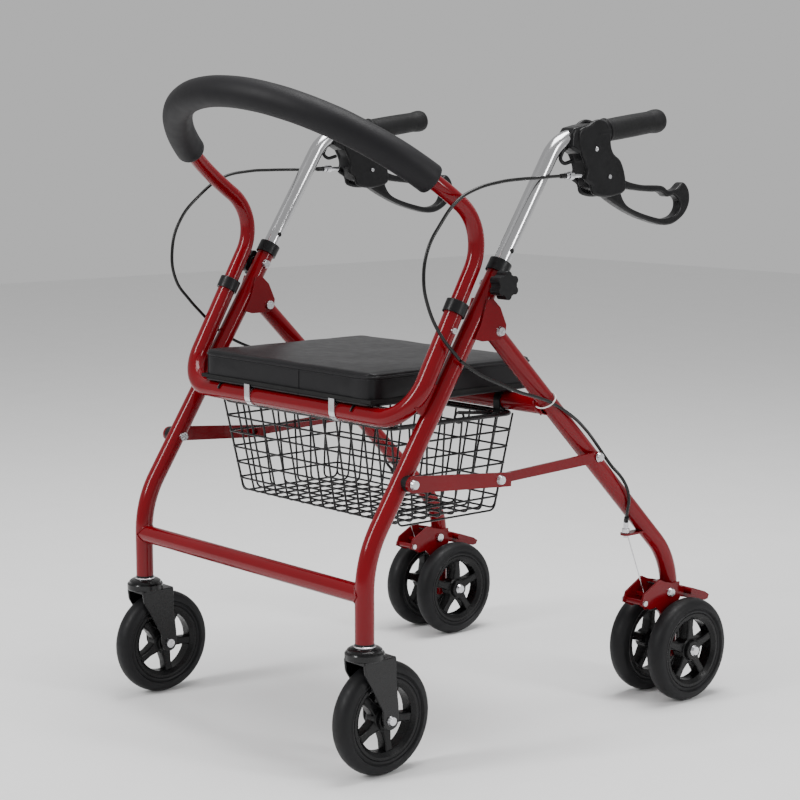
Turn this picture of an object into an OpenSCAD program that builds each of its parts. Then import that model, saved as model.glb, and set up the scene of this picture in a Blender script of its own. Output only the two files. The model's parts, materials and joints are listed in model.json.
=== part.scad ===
// Folding four-leg rollator: steel tube frame, flip-up seat, wire basket,
// padded backrest bar, two swivel casters, two twin rear wheel sets and loop brakes.
// The front faces -Y, +Z is up, the user's left is +X. All lengths are millimetres.

/* [Frame] */
// Distance between the left and the right leg plane
track_w = 507; // [490:1:525]
// Outer diameter of the frame tubes
tube_d = 25.4; // [25:0.1:26]
// Bore of the frame tubes
tube_bore_d = 22.3; // [22.3:0.1:22.6]
// Backward lean of the upper front legs from the vertical, degrees
leg_lean = 32.7; // [32:0.1:33.5]
// Height at which the upper and lower axis of a front leg meet
leg_bend_z = 288.6; // [285:0.1:292]
// Height of the open bottom end of a front leg
leg_bottom_z = 180; // [179:0.5:182]
// Height of the open top end of a front leg
leg_top_z = 656; // [650:1:660]
// Height of the lower crossbar between the front legs
low_bar_z = 243; // [225:1:250]

/* [Seat and backrest] */
// Height of the seat's top face
seat_top_z = 516; // [510:1:516]
// Width of the seat cushion
seat_w = 382; // [360:1:384]
// Depth of the seat cushion, front to back
seat_depth = 303; // [295:1:305]
// Forward lean of the backrest arch from the horizontal, degrees
arch_tilt = 35.4; // [34:0.1:37]
// Diameter of the foam on the backrest
foam_d = 42; // [38:1:44]
// Where the foam starts on the left, degrees round the arch
foam_start = 12.5; // [8:0.5:20]
// Where the foam ends on the right, degrees round the arch
foam_end = 154; // [150:0.5:172]

/* [Wheels] */
// Diameter of every wheel
wheel_d = 152; // [150:1:153]
// Width of a tyre
tyre_w = 31; // [29:1:31]
// Backward trail of the front casters
caster_trail = 27; // [24:1:29]
// Distance from a rear leg plane to each of its two wheels
twin_gap = 37.1; // [37:0.1:38.5]
// Distance from the caster stems back to the rear axles
wheelbase = 584.5; // [582:0.5:587]

/* [Handles] */
// Outer diameter of the chromed handle tubes
handle_d = 22.2; // [22.1:0.01:22.28]
// Upward slope of the grips, degrees
grip_slope = 7.2; // [6:0.1:8]
// Outer diameter of the hand grips
grip_d = 31; // [28:1:32]
// Outer diameter of the brake cables
cable_d = 5; // [4:0.5:5]

/* [Basket] */
// Width of the basket's rim
rim_w = 376; // [360:1:378]
// Height of the basket's rim
rim_z = 440; // [438:0.5:440.5]
// Height of the basket's floor
basket_z = 302; // [296:1:310]

/* [Hidden] */
$fn = 64;
left = 1;
right = -1;
outer = 1;
inner = -1;
leg_x = track_w / 2;
tube_r = tube_d / 2;
bore_r = tube_bore_d / 2;
running_gap = 0.05;
safe_gap = 0.3;
steel_t = 3;

// Every Y below is measured back from the caster stems; the finished part is centred on Y = 0.
wheel_r = wheel_d / 2;
u_lean = 29.5;
u_x = 252;
bar_y = 76.5;
bar_z = 458.5;
u_corner_r = 57;
socket_top_z = 606;
arch_r = u_x;
arch_base_z = 702.3;
arch_base_y = bar_y + (arch_base_z - bar_z) * tan(u_lean);
arch_leg = 60;
arch_reach = arch_leg + arch_r;
arch_front_y = arch_base_y - arch_reach * cos(arch_tilt);
y_mid = (wheelbase + wheel_r + arch_front_y - foam_d / 2) / 2;

// Front leg line and points on it
leg_bend_r = 150;
function leg_y(z) = (z - leg_bend_z) * tan(leg_lean);
leg_dir = [0, sin(leg_lean), cos(leg_lean)];

// Rear frame: its fold axis, its leg and its crossbar
pivot_y = 222;
pivot_z = 568;
rear_bend_z = pivot_z - (wheelbase - pivot_y);
rear_bend_r = 110;
rear_top_over = 16.5;
rear_leg_end_z = 60;
cross_y = 325;
cross_z = 457;
down_back = [0, sin(45), -cos(45)];
function rear_leg_at(y) = [0, y, pivot_z - (y - pivot_y)];

// Side links: three pivots on each side
link_front = [63, 382];
link_mid = [217, 370];
link_rear = [411.4, 378.6];
link_t = 4;
link_out = 20;
bolt_r = 4;
head_r = 7;
head_t = 4;

// Handle tube, grip and brake
handle_r = handle_d / 2;
handle_corner = [leg_y(819), 819];
handle_low_z = 520;
handle_bend_r = 60;
grip_dir = [0, cos(grip_slope), sin(grip_slope)];
handle_end_len = 205;
grip_from = 92;
grip_len = 116;
lever_axis = [428, 768];
lever_pin_r = 3;
wire_bore_r = 1.2;
knob_z = 630;
knob_foot = 2.5;
knob_r = 19;

// Brake at the rear wheel
axle_z = wheel_r;
arm_axis = [568, 160];
shoe = [603.5, 158];
shoe_r = 5;
shoe_half = 32;
anchor = [534, 158];
front_bolt = [512, 152];

// ---------- helpers ----------
module placed() translate([0, -y_mid, 0]) children();
module on_side(side) placed() translate([side * leg_x, 0, 0]) mirror([side < 0 ? 1 : 0, 0, 0]) children();
module both() for (side = [left, right]) on_side(side) children();

// A side-view outline, drawn as (Y, Z) points, made thick along X from x_from to x_to
module side_plate(x_from, x_to) translate([x_from, 0, 0]) rotate([90, 0, 90])
    linear_extrude(x_to - x_from) children();
// A round rod along X through the side-view point p
module x_rod(p, x_from, x_to, r) translate([x_from, p[0], p[1]]) rotate([0, 90, 0])
    cylinder(h = x_to - x_from, r = r);

function unit(v) = v / norm(v);
module along(v) rotate([0, acos(v.z / norm(v)), atan2(v.y, v.x)]) children();
module stick(a, b, r) translate(a) along(b - a) cylinder(h = norm(b - a), r = r);
function turn(a, b, c) = acos(unit(b - a) * unit(c - b));
function setback(a, b, c, bend) = bend * tan(turn(a, b, c) / 2);

// Where a straight run meets a bend, the run goes a little way into the bend, which is a hair thicker
lap = 0.4;
bend_step = 0.06;
// The piece of ring that joins the straight runs a-b and b-c
module elbow(a, b, c, bend, r) {
    ahead = unit(b - a);
    axis = unit(cross(ahead, c - b));
    inward = cross(axis, ahead);
    middle = b - ahead * setback(a, b, c, bend) + inward * bend;
    multmatrix([
        [-inward.x, ahead.x, axis.x, middle.x],
        [-inward.y, ahead.y, axis.y, middle.y],
        [-inward.z, ahead.z, axis.z, middle.z]
    ]) rotate_extrude(angle = turn(a, b, c)) translate([bend, 0]) circle(r + bend_step);
}

// A round bar of radius r through the corners p, each inner corner rounded by bend[i]
module bent_bar(p, bend, r) {
    last = len(p) - 1;
    function cut(i) = (i == 0 || i == last) ? 0 : setback(p[i - 1], p[i], p[i + 1], bend[i]) - lap;
    for (i = [0 : last - 1]) {
        way = unit(p[i + 1] - p[i]);
        stick(p[i] + way * cut(i), p[i + 1] - way * cut(i + 1), r);
    }
    for (i = [1 : last - 1]) elbow(p[i - 1], p[i], p[i + 1], bend[i], r);
}

// The same round bar as a closed loop
module bent_loop(p, bend, r) {
    n = len(p);
    function at(i) = p[(i + n) % n];
    function cut(i) = setback(at(i - 1), at(i), at(i + 1), bend) - lap;
    for (i = [0 : n - 1]) {
        way = unit(at(i + 1) - at(i));
        stick(at(i) + way * cut(i), at(i + 1) - way * cut(i + 1), r);
        elbow(at(i - 1), at(i), at(i + 1), bend, r);
    }
}

// A cord of radius r, swept through the route's own points
cord_sides = 8;
function tangent(p, i) = unit(p[min(i + 1, len(p) - 1)] - p[max(i - 1, 0)]);
function level(t) = unit(cross(t, abs(t.x) > 0.9 ? [0, 0, 1] : [1, 0, 0]));
function ring(p, i, r) = [
    for (k = [0 : cord_sides - 1])
        let (t = tangent(p, i), u = level(t), a = 360 * k / cord_sides)
        p[i] + r * (cos(a) * u + sin(a) * cross(t, u))
];
module cord(p, r) {
    rings = len(p);
    corners = [for (i = [0 : rings - 1]) each ring(p, i, r)];
    walls = [
        for (i = [0 : rings - 2], k = [0 : cord_sides - 1])
            let (n = (k + 1) % cord_sides, b = i * cord_sides)
            each [
                [b + k, b + cord_sides + k, b + cord_sides + n],
                [b + k, b + cord_sides + n, b + n]
            ]
    ];
    start_cap = [[for (k = [0 : cord_sides - 1]) k]];
    end_cap = [[for (k = [cord_sides - 1 : -1 : 0]) (rings - 1) * cord_sides + k]];
    polyhedron(points = corners, faces = concat(walls, start_cap, end_cap));
}

// ---------- front frame ----------
front_leg_line = [[0, 0, leg_bottom_z], [0, 0, leg_bend_z], [0, leg_y(leg_top_z), leg_top_z]];
front_leg_bends = [0, leg_bend_r, 0];
module front_leg_outside() bent_bar(front_leg_line, front_leg_bends, tube_r);
module upper_leg_outside() stick([0, leg_y(330), 330], [0, leg_y(leg_top_z), leg_top_z], tube_r);
module front_leg() difference() {
    front_leg_outside();
    bent_bar([[0, 0, leg_bottom_z - 1], front_leg_line[1], front_leg_line[2] + leg_dir], front_leg_bends, bore_r);
    x_rod([leg_y(knob_z), knob_z], -20, 20, bolt_r + running_gap);
    x_rod(link_front, -20, 20, bolt_r + running_gap);
}
module front_legs() color([0.65, 0.06, 0.1]) both() front_leg();

module lower_crossbar() color([0.62, 0.06, 0.1]) placed() difference() {
    x_rod([0, low_bar_z], -leg_x, leg_x, tube_r);
    for (side = [left, right]) translate([side * leg_x, 0, low_bar_z - 30]) cylinder(h = 60, r = tube_r);
    x_rod([0, low_bar_z], -leg_x, leg_x, bore_r);
}

u_top_y = bar_y + (socket_top_z - bar_z) * tan(u_lean);
u_line = [[u_x, u_top_y, socket_top_z], [u_x, bar_y, bar_z], [-u_x, bar_y, bar_z], [-u_x, u_top_y, socket_top_z]];
u_bends = [0, u_corner_r, u_corner_r, 0];
arm_dir = [0, sin(u_lean), cos(u_lean)];
button_z = 574;
button = [bar_y + (button_z - bar_z) * tan(u_lean), button_z];
button_r = 4;
module seat_u_tube() color([0.65, 0.06, 0.1]) placed() difference() {
    bent_bar(u_line, u_bends, tube_r);
    bent_bar([u_line[0] + arm_dir, u_line[1], u_line[2], u_line[3] + arm_dir], u_bends, bore_r);
    for (side = [left, right]) mirror([side < 0 ? 1 : 0, 0, 0]) x_rod(button, u_x, u_x + 20, button_r + running_gap);
}

bracket_outline = [
    [176, 561], [186, 578], [199, 612], [209, 612], [222, 600], [233, 576], [231, 564], [222, 557], [190, 557]
];
bracket_in = tube_r + safe_gap;
module pivot_bracket() difference() {
    union() {
        side_plate(bracket_in, bracket_in + steel_t) polygon(bracket_outline);
        side_plate(-bracket_in - steel_t, -bracket_in) polygon(bracket_outline);
        side_plate(-bracket_in, bracket_in) polygon([[206, 596], [209, 612], [222, 600], [219, 596]]);
    }
    x_rod([pivot_y, pivot_z], -20, 20, bolt_r + running_gap);
    upper_leg_outside();
}
module weld_gusset() difference() {
    side_plate(-2, 2) polygon([[84, 476], [104, 508], [142, 500], [118, 470], [100, 462]]);
    upper_leg_outside();
    translate([-leg_x, 0, 0]) stick(u_line[0], u_line[0] - arm_dir * 120, tube_r);
    translate([-leg_x, 0, 0]) elbow(u_line[0], u_line[1], u_line[2], u_corner_r, tube_r);
}
module frame_brackets() color([0.6, 0.05, 0.09]) both() {
    pivot_bracket();
    weld_gusset();
}

collar_h = 17;
collar_r = 15.6;
module collar(outer_r, rod_r) difference() {
    cylinder(h = collar_h, r = outer_r);
    translate([0, 0, -1]) cylinder(h = collar_h - 2, r = tube_r);
    translate([0, 0, collar_h - 4]) cylinder(h = 5, r = rod_r);
}
collar_lip = 4;
collar_below = collar_h - collar_lip + 1;
module tube_collars() color([0.1, 0.1, 0.11]) both() {
    translate([0, leg_y(leg_top_z), leg_top_z] - leg_dir * collar_below) rotate([-leg_lean, 0, 0])
        collar(collar_r, handle_r + running_gap);
    translate([u_x - leg_x, u_top_y, socket_top_z] - arm_dir * collar_below) rotate([-u_lean, 0, 0])
        collar(collar_r, backrest_r + 0.1);
}

kingpin_r = 6;
bushing_h = 40;
module stem_bushings() color([0.15, 0.15, 0.16]) both() translate([0, 0, leg_bottom_z - 2]) difference() {
    union() {
        cylinder(h = bushing_h, r = bore_r - running_gap);
        cylinder(h = 2, r = tube_r);
    }
    translate([0, 0, -1]) cylinder(h = bushing_h + 2, r = kingpin_r + running_gap);
}

// A bolt along +X: a domed head at x, its shank going inboard
module bolt_out(p, x_head, x_end) {
    x_rod(p, x_end, x_head + 0.1, bolt_r);
    translate([x_head, p[0], p[1]]) rotate([0, 90, 0]) cylinder(h = head_t, r1 = head_r, r2 = head_r - 1.5);
}
module bolt_through(p, x_head, x_nut) {
    bolt_out(p, x_head, x_nut - lap);
    translate([x_nut - head_t, p[0], p[1]]) rotate([0, 90, 0]) cylinder(h = head_t, r = head_r - 0.5);
}
module frame_bolts() color([0.8, 0.8, 0.82]) both() {
    bolt_through([pivot_y, pivot_z], bracket_in + steel_t, -bracket_in - steel_t);
    bolt_through(link_front, link_out + link_t + safe_gap, -tube_r);
    // guide bolt that closes the inboard side of the height clamp
    mirror([1, 0, 0]) bolt_out([leg_y(knob_z), knob_z], tube_r, handle_r + running_gap);
}
module link_spacers() color([0.1, 0.1, 0.11]) both() difference() {
    x_rod(link_front, tube_r - 5, link_out - safe_gap, 11);
    x_rod(link_front, 0, link_out + 1, bolt_r);
    upper_leg_outside();
}

// ---------- backrest ----------
backrest_r = 11;
base = [u_x, arch_base_y, arch_base_z];
lean_on = [0, -cos(arch_tilt), sin(arch_tilt)];
spring_line = base + lean_on * arch_leg;
base_turn = 180 - (90 - u_lean) - arch_tilt;
base_bend_r = (arch_leg - 0.5) / tan(base_turn / 2);
insert_len = 70;
tube_end = [u_x, u_top_y, socket_top_z] - arm_dir * insert_len;
module arch_frame() multmatrix([
    [1, 0, 0, 0],
    [0, lean_on.y, -lean_on.z, spring_line.y],
    [0, lean_on.z, lean_on.y, spring_line.z]
]) children();
module backrest_tube() color([0.62, 0.06, 0.1]) placed() difference() {
    union() {
        for (side = [left, right]) mirror([side < 0 ? 1 : 0, 0, 0])
            bent_bar([tube_end, base, spring_line + lean_on * lap], [0, base_bend_r, 0], backrest_r);
        arch_frame() rotate_extrude(angle = 180) translate([arch_r, 0]) circle(backrest_r + bend_step);
    }
    for (side = [left, right]) mirror([side < 0 ? 1 : 0, 0, 0]) {
        x_rod(button, u_x, u_x + 20, button_r + running_gap);
        stick(tube_end - arm_dir, tube_end + arm_dir * (insert_len - 20), backrest_r - 2);
    }
}
module backrest_foam() color([0.16, 0.16, 0.18]) placed() arch_frame()
    rotate([0, 0, foam_start]) rotate_extrude(angle = foam_end - foam_start)
        translate([arch_r, 0]) difference() {
            circle(foam_d / 2);
            circle(backrest_r + bend_step);
        }

button_out = 3.5;
module snap_button(side) color([0.85, 0.85, 0.86]) on_side(side)
    x_rod(button, u_x - leg_x + backrest_r - 3.5, u_x - leg_x + tube_r + button_out, button_r);

// ---------- wheels ----------
hub_r = 55;
hub_rim_in = 45;
hub_w = 24;
tyre_side = tyre_w / 2;
module wheel_tyre() rotate([0, 90, 0]) rotate_extrude() polygon([
    [hub_r, -hub_w / 2], [hub_r + 6, -tyre_side], [wheel_r - 9, -tyre_side], [wheel_r - 3, -tyre_side + 3.5],
    [wheel_r, -6], [wheel_r, 6], [wheel_r - 3, tyre_side - 3.5], [wheel_r - 9, tyre_side],
    [hub_r + 6, tyre_side], [hub_r, hub_w / 2]
]);
spokes = 5;
module hub_face() {
    difference() {
        circle(hub_r);
        circle(hub_rim_in);
    }
    circle(16);
    for (i = [0 : spokes - 1]) rotate(i * 360 / spokes) polygon([[8, -8], [46, -5.5], [46, 5.5], [8, 8]]);
}
module wheel_hub() rotate([0, 90, 0]) difference() {
    union() {
        translate([0, 0, -hub_w / 2]) linear_extrude(hub_w) difference() {
            circle(hub_r);
            circle(hub_rim_in);
        }
        translate([0, 0, -8]) linear_extrude(16) hub_face();
        translate([0, 0, -tyre_side]) cylinder(h = tyre_w, r = 13);
    }
    translate([0, 0, -20]) cylinder(h = 40, r = bolt_r + running_gap);
}

// ---------- front casters ----------
fork_in = tyre_side + 2.5;
fork_t = 3.5;
crown_z = 156;
module fork_outline() {
    polygon([
        [-18, crown_z + 4], [-16, 142], [-6, 126], [caster_trail - 13, axle_z + 14], [caster_trail - 12, axle_z - 4],
        [caster_trail + 12, axle_z - 4], [caster_trail + 13, axle_z + 14], [36, 128], [36, crown_z + 4]
    ]);
    translate([caster_trail, axle_z]) circle(13);
}
module caster_fork(side) color([0.08, 0.08, 0.09]) on_side(side) difference() {
    union() {
        for (s = [left, right]) mirror([s < 0 ? 1 : 0, 0, 0])
            side_plate(fork_in, fork_in + fork_t) fork_outline();
        side_plate(-fork_in, fork_in) polygon([[-18, crown_z], [36, crown_z], [36, crown_z + 4], [-18, crown_z + 4]]);
    }
    x_rod([caster_trail, axle_z], -40, 40, bolt_r + running_gap);
    translate([0, 0, crown_z - 1]) cylinder(h = 8, r = kingpin_r + running_gap);
}
cup_r = 24.5;
cup_top_z = 174;
module caster_hardware(side) color([0.1, 0.1, 0.11]) on_side(side) {
    // ball race cup with its dome, lock washer and kingpin
    translate([0, 0, crown_z + 4]) rotate_extrude() polygon([
        [0, -3], [kingpin_r, -3], [kingpin_r, 0], [cup_r, 0], [cup_r, 7], [cup_r - 3, 9], [cup_r - 2, 11],
        [12, cup_top_z - crown_z - 4], [kingpin_r, cup_top_z - crown_z - 4],
        [kingpin_r, bushing_h + 8], [0, bushing_h + 8]
    ]);
    bolt_through([caster_trail, axle_z], fork_in + fork_t, -fork_in - fork_t);
}
module caster_tyre(side) color([0.12, 0.12, 0.13]) on_side(side) translate([0, caster_trail, axle_z]) wheel_tyre();
module caster_hub(side) color([0.07, 0.07, 0.08]) on_side(side) translate([0, caster_trail, axle_z]) wheel_hub();

// ---------- rear frame ----------
rear_top = rear_leg_at(pivot_y) - down_back * rear_top_over;
rear_leg_line = [rear_top, [0, wheelbase, rear_bend_z], [0, wheelbase, rear_leg_end_z]];
rear_leg_bends = [0, rear_bend_r, 0];
rear_bore_r = tube_r - 1.6;
module rear_leg_outside() bent_bar(rear_leg_line, rear_leg_bends, tube_r);
module rear_leg() difference() {
    rear_leg_outside();
    bent_bar([rear_top - down_back, rear_leg_line[1], rear_leg_line[2] - [0, 0, 1]], rear_leg_bends, rear_bore_r);
    x_rod([pivot_y, pivot_z], -20, 20, bolt_r + running_gap);
    x_rod(link_rear, -20, 20, bolt_r + running_gap);
    x_rod([wheelbase, axle_z], -20, 20, bolt_r + running_gap);
}
module rear_legs() color([0.62, 0.06, 0.1]) both() rear_leg();
module leg_plugs() color([0.1, 0.1, 0.11]) both() translate(rear_top) along(down_back) {
    translate([0, 0, -2.5]) cylinder(h = 2.5, r = tube_r - 0.5);
    cylinder(h = 10, r = rear_bore_r - running_gap);
}
module rear_crossbar() color([0.55, 0.05, 0.09]) placed() difference() {
    x_rod([cross_y, cross_z], -leg_x, leg_x, tube_r);
    for (side = [left, right]) translate([side * leg_x, 0, 0])
        stick(rear_leg_at(cross_y - 60), rear_leg_at(cross_y + 60), tube_r);
    x_rod([cross_y, cross_z], -leg_x, leg_x, bore_r);
}

mount_in = tube_r;
mount_t = 2.6;
stop_at = [490, 256];
module rear_brackets() color([0.6, 0.05, 0.09]) both() {
    // cheeks that carry the brake arm's pivot, joined by a web in front of the leg
    difference() {
        union() {
            for (s = [left, right]) mirror([s < 0 ? 1 : 0, 0, 0])
                side_plate(mount_in, mount_in + mount_t)
                    polygon([[561, 168], [566, 172], [592, 172], [592, 148], [566, 148], [559, 153]]);
            side_plate(-mount_in, mount_in) polygon([[559, 168], [563, 173], [571, 173], [571, 170]]);
        }
        x_rod(arm_axis, -20, 20, bolt_r + running_gap);
        rear_leg_outside();
    }
    // tab that holds the cable stop
    difference() {
        translate([0, stop_at[0], stop_at[1] - 2.5]) linear_extrude(3) {
            circle(8);
            translate([-8, 0]) square([16, 50]);
        }
        rear_leg_outside();
        translate([0, stop_at[0], stop_at[1] - 5]) cylinder(h = 10, r = 3.5);
    }
}
module rear_fasteners() color([0.8, 0.8, 0.82]) both() {
    bolt_through(link_rear, link_out + safe_gap - 0.2, -tube_r);
    bolt_through(arm_axis, mount_in + mount_t + 3.9, -mount_in - mount_t - 3.9);
    // axle with its domed cap on the outer wheel
    x_rod([wheelbase, axle_z], -twin_gap - tyre_side - 2, twin_gap + tyre_side + 0.1, bolt_r);
    for (s = [left, right]) mirror([s < 0 ? 1 : 0, 0, 0])
        translate([twin_gap + tyre_side + safe_gap, wheelbase, axle_z]) rotate([0, 90, 0])
            cylinder(h = 3.5, r1 = 8.5, r2 = 6);
    // threaded cable stop in the tab
    translate([0, stop_at[0], stop_at[1] - 6]) difference() {
        union() {
            cylinder(h = 24, r = 3.4);
            translate([0, 0, 7]) cylinder(h = 6, r = 5.5);
        }
        translate([0, 0, -1]) cylinder(h = 30, r = wire_bore_r);
    }
}
strap_x = [-170, 170];
strap_w = 12;
strap_t = 2;
strap_drop = 21;
strap_r = tube_r + 0.2;
rim_room = 1.2;
module basket_straps() color([0.1, 0.1, 0.11]) placed() for (x = strap_x) difference() {
    union() {
        x_rod([cross_y, cross_z], x - strap_w / 2, x + strap_w / 2, strap_r + strap_t);
        // the hanging end starts a hair inside the loop's round
        translate([x - strap_w / 2, cross_y - strap_r - strap_t + 0.15, cross_z - strap_drop])
            cube([strap_w, strap_t - 0.3, strap_drop]);
    }
    x_rod([cross_y, cross_z], x - strap_w, x + strap_w, strap_r);
    x_rod([rim_back_y, rim_z], x - strap_w, x + strap_w, rim_r + rim_room);
}
module brake_springs() color([0.1, 0.1, 0.11]) both() difference() {
    for (x = [-7, -3.5, 0, 3.5, 7]) translate([x, arm_axis[0], arm_axis[1]]) rotate([0, 90, 0])
        rotate_extrude() translate([bolt_r + 1.9, 0]) circle(1.74);
    rear_leg_outside();
}

// ---------- rear wheels ----------
module twin_wheel(side, place) on_side(side) translate([place * twin_gap, wheelbase, axle_z]) children();
module rear_tyre(side, place) color([0.12, 0.12, 0.13]) twin_wheel(side, place) wheel_tyre();
module rear_hub(side, place) color([0.07, 0.07, 0.08]) twin_wheel(side, place) wheel_hub();

arm_in = mount_in + mount_t + safe_gap;
arm_t = 3.2;
arm_outline = [
    [505, 149], [511, 164], [545, 182], [556, 177], [573, 173], [590, 166], [614, 160], [646, 149],
    [655, 143], [652, 137], [645, 136], [614, 144], [590, 150], [579, 134], [553, 129], [538, 142], [524, 141]
];
module brake_arm(side) color([0.58, 0.05, 0.08]) on_side(side) difference() {
    union() {
        for (s = [left, right]) mirror([s < 0 ? 1 : 0, 0, 0]) side_plate(arm_in, arm_in + arm_t) polygon(arm_outline);
        // foot pedal web and the front tie
        side_plate(-arm_in, arm_in) polygon([[606, 158], [614, 160], [646, 149], [655, 143], [652, 137], [645, 146]]);
        x_rod(shoe, -shoe_half, shoe_half, shoe_r);
        x_rod(anchor, -arm_in, arm_in, 3.5);
        x_rod(front_bolt, -arm_in - arm_t - 3, arm_in + arm_t + 3, 4);
    }
    x_rod(arm_axis, -30, 30, bolt_r + running_gap);
}

// ---------- side links ----------
link_w = 22;
bar_w = 15;
module strap_outline(a, b, w, over) {
    way = (b - a) / norm(b - a);
    side_way = [-way[1], way[0]];
    translate(a) circle(w / 2);
    half = side_way * w / 2;
    tip = b + way * over;
    polygon([a + half, a - half, tip - half * 0.85, tip + half * 0.85]);
    translate(b) circle(w / 2 * 0.9);
}
rear_bar_out = tube_r + 2.2;
module front_link(side) color([0.6, 0.05, 0.09]) on_side(side) {
    difference() {
        side_plate(link_out, link_out + link_t) strap_outline(link_front, link_mid, link_w, 20);
        x_rod(link_front, 0, 40, bolt_r + running_gap);
        x_rod(link_mid, 0, 40, bolt_r + running_gap);
    }
    // rivet of the middle pivot
    bolt_out(link_mid, link_out + link_t + 0.05, link_out);
}
module rear_link(side) color([0.58, 0.05, 0.09]) on_side(side) difference() {
    side_plate(rear_bar_out, rear_bar_out + link_t) strap_outline(link_rear, link_mid, bar_w, 6);
    x_rod(link_rear, 0, 40, bolt_r + running_gap);
    x_rod(link_mid, 0, 40, bolt_r + running_gap);
}

// ---------- handles ----------
function corner3(p) = [0, p[0], p[1]];
handle_line = [
    [0, leg_y(handle_low_z), handle_low_z], corner3(handle_corner), corner3(handle_corner) + grip_dir * handle_end_len
];
handle_bends = [0, handle_bend_r, 0];
hole_pitch = 25.4;
module handle_tube(side) color([0.82, 0.82, 0.84]) on_side(side) difference() {
    bent_bar(handle_line, handle_bends, handle_r);
    bent_bar([handle_line[0] - leg_dir, handle_line[1], handle_line[2] + grip_dir], handle_bends, handle_r - 1.5);
    // height holes, one pitch apart
    for (i = [-3 : 2]) let (z = knob_z + 0.5 + i * hole_pitch * cos(leg_lean)) x_rod([leg_y(z), z], -20, 20, 3.5);
}
grip_at = corner3(handle_corner) + grip_dir * grip_from;
module grip(side) color([0.12, 0.12, 0.13]) on_side(side) translate(grip_at) along(grip_dir) difference() {
    rotate_extrude() polygon([
        [0, 0], [grip_d / 2 - 1, 0], [grip_d / 2, 3], [grip_d / 2, grip_len - 22], [grip_d / 2 + 2, grip_len - 10],
        [grip_d / 2 + 1, grip_len - 3], [grip_d / 2 - 3, grip_len], [0, grip_len]
    ]);
    translate([0, 0, -1]) cylinder(h = grip_len - 1.5, r = handle_r + running_gap);
}
housing_in = 15;
adjuster = [housing_in - 6, 366, 770.5];
adjuster_r = 3;
module brake_housing(side) color([0.1, 0.1, 0.11]) on_side(side) difference() {
    side_plate(-housing_in, housing_in + 1) polygon([
        [354, 826], [360, 835], [400, 843], [411, 847], [427, 845], [431, 810], [437, 799], [452, 790],
        [457, 770], [461, 745], [417, 739], [393, 744], [389, 756], [366, 763], [376, 776], [370, 787], [359, 806]
    ]);
    bent_bar([handle_line[1] - leg_dir * 70, handle_line[1], handle_line[2]], handle_bends, handle_r + running_gap);
    x_rod(lever_axis, -40, 40, lever_pin_r + running_gap);
    // slot in which the lever swings
    side_plate(-8.5, 8.5) polygon([[412, 790], [470, 790], [470, 730], [412, 730]]);
    // seat of the cable adjuster
    translate(adjuster) rotate([90, 0, 0]) translate([0, 0, -14]) cylinder(h = 30, r = adjuster_r + running_gap);
}
module brake_lever(side) color([0.13, 0.13, 0.14]) on_side(side) difference() {
    side_plate(-8, 8) difference() {
        polygon([
            [416, 778], [440, 780], [470, 762], [505, 754], [546, 752], [562, 745], [580, 749], [592, 756], [603, 743],
            [606, 731], [598, 715], [584, 703], [566, 697], [540, 699], [488, 713], [440, 735], [416, 758]
        ]);
        polygon([
            [462, 752], [480, 750], [520, 746], [545, 745], [558, 738], [574, 739], [583, 730], [582, 718],
            [572, 708], [555, 707], [500, 718], [475, 728], [462, 742]
        ]);
    }
    x_rod(lever_axis, -40, 40, lever_pin_r + running_gap);
}
module lever_hardware(side) color([0.8, 0.8, 0.82]) on_side(side) {
    x_rod(lever_axis, -housing_in - 1.5, housing_in + 2.5, lever_pin_r);
    // barrel adjuster, its mouth facing the cable
    translate(adjuster) rotate([90, 0, 0]) difference() {
        union() {
            translate([0, 0, -12]) cylinder(h = 30, r = adjuster_r);
            translate([0, 0, 4]) cylinder(h = 8, r = 5.5);
            translate([0, 0, 13]) cylinder(h = 5, r = 4.5);
        }
        translate([0, 0, -13]) cylinder(h = 32, r = wire_bore_r);
    }
}
module knob(side) color([0.1, 0.1, 0.11]) on_side(side)
    translate([tube_r + 1, leg_y(knob_z), knob_z]) rotate([0, 90, 0]) {
    translate([0, 0, -tube_r - 1 + handle_r + running_gap]) cylinder(h = 3, r = bolt_r);
    cylinder(h = knob_foot, r = 10);
    translate([0, 0, knob_foot]) linear_extrude(18) {
        circle(knob_r - 4);
        for (i = [0 : 5]) rotate(i * 60) translate([knob_r - 5.5, 0]) circle(5.5);
    }
}

// ---------- seat ----------
board_t = 5;
board_z = 476.5;
seat_front_y = 63;
module seat_cushion() color([0.13, 0.13, 0.15]) placed() translate([-seat_w / 2, seat_front_y, board_z + board_t])
    cube([seat_w, seat_depth, seat_top_z - board_z - board_t]);
foot_r = 8;
module seat_board() color([0.08, 0.08, 0.08]) placed() {
    translate([-seat_w / 2, seat_front_y, board_z]) cube([seat_w, seat_depth, board_t]);
    for (x = [-120, 120]) translate([x, cross_y, cross_z + tube_r + safe_gap])
        cylinder(h = board_z - cross_z - tube_r, r = foot_r);
}
clip_x = [-80, 110];
clip_w = 12;
module seat_clips() color([0.8, 0.8, 0.82]) placed()
    for (x = clip_x) translate([x - clip_w / 2, bar_y, bar_z]) difference() {
    union() {
        rotate([0, 90, 0]) cylinder(h = clip_w, r = tube_r + 1.6);
        translate([0, -tube_r - 1.6, 0]) cube([clip_w, 1.5, board_z - bar_z - 0.05]);
        translate([0, tube_r + 0.1, 0]) cube([clip_w, 1.5, board_z - bar_z - 0.05]);
    }
    translate([-1, 0, 0]) rotate([0, 90, 0]) cylinder(h = clip_w + 2, r = tube_r + running_gap);
}

// ---------- basket ----------
wire = 3;
rim_r = 3.5;
rim_front_y = 101;
rim_back_y = 325;
floor_w = 350;
floor_front_y = 125;
floor_back_y = 302;
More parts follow.
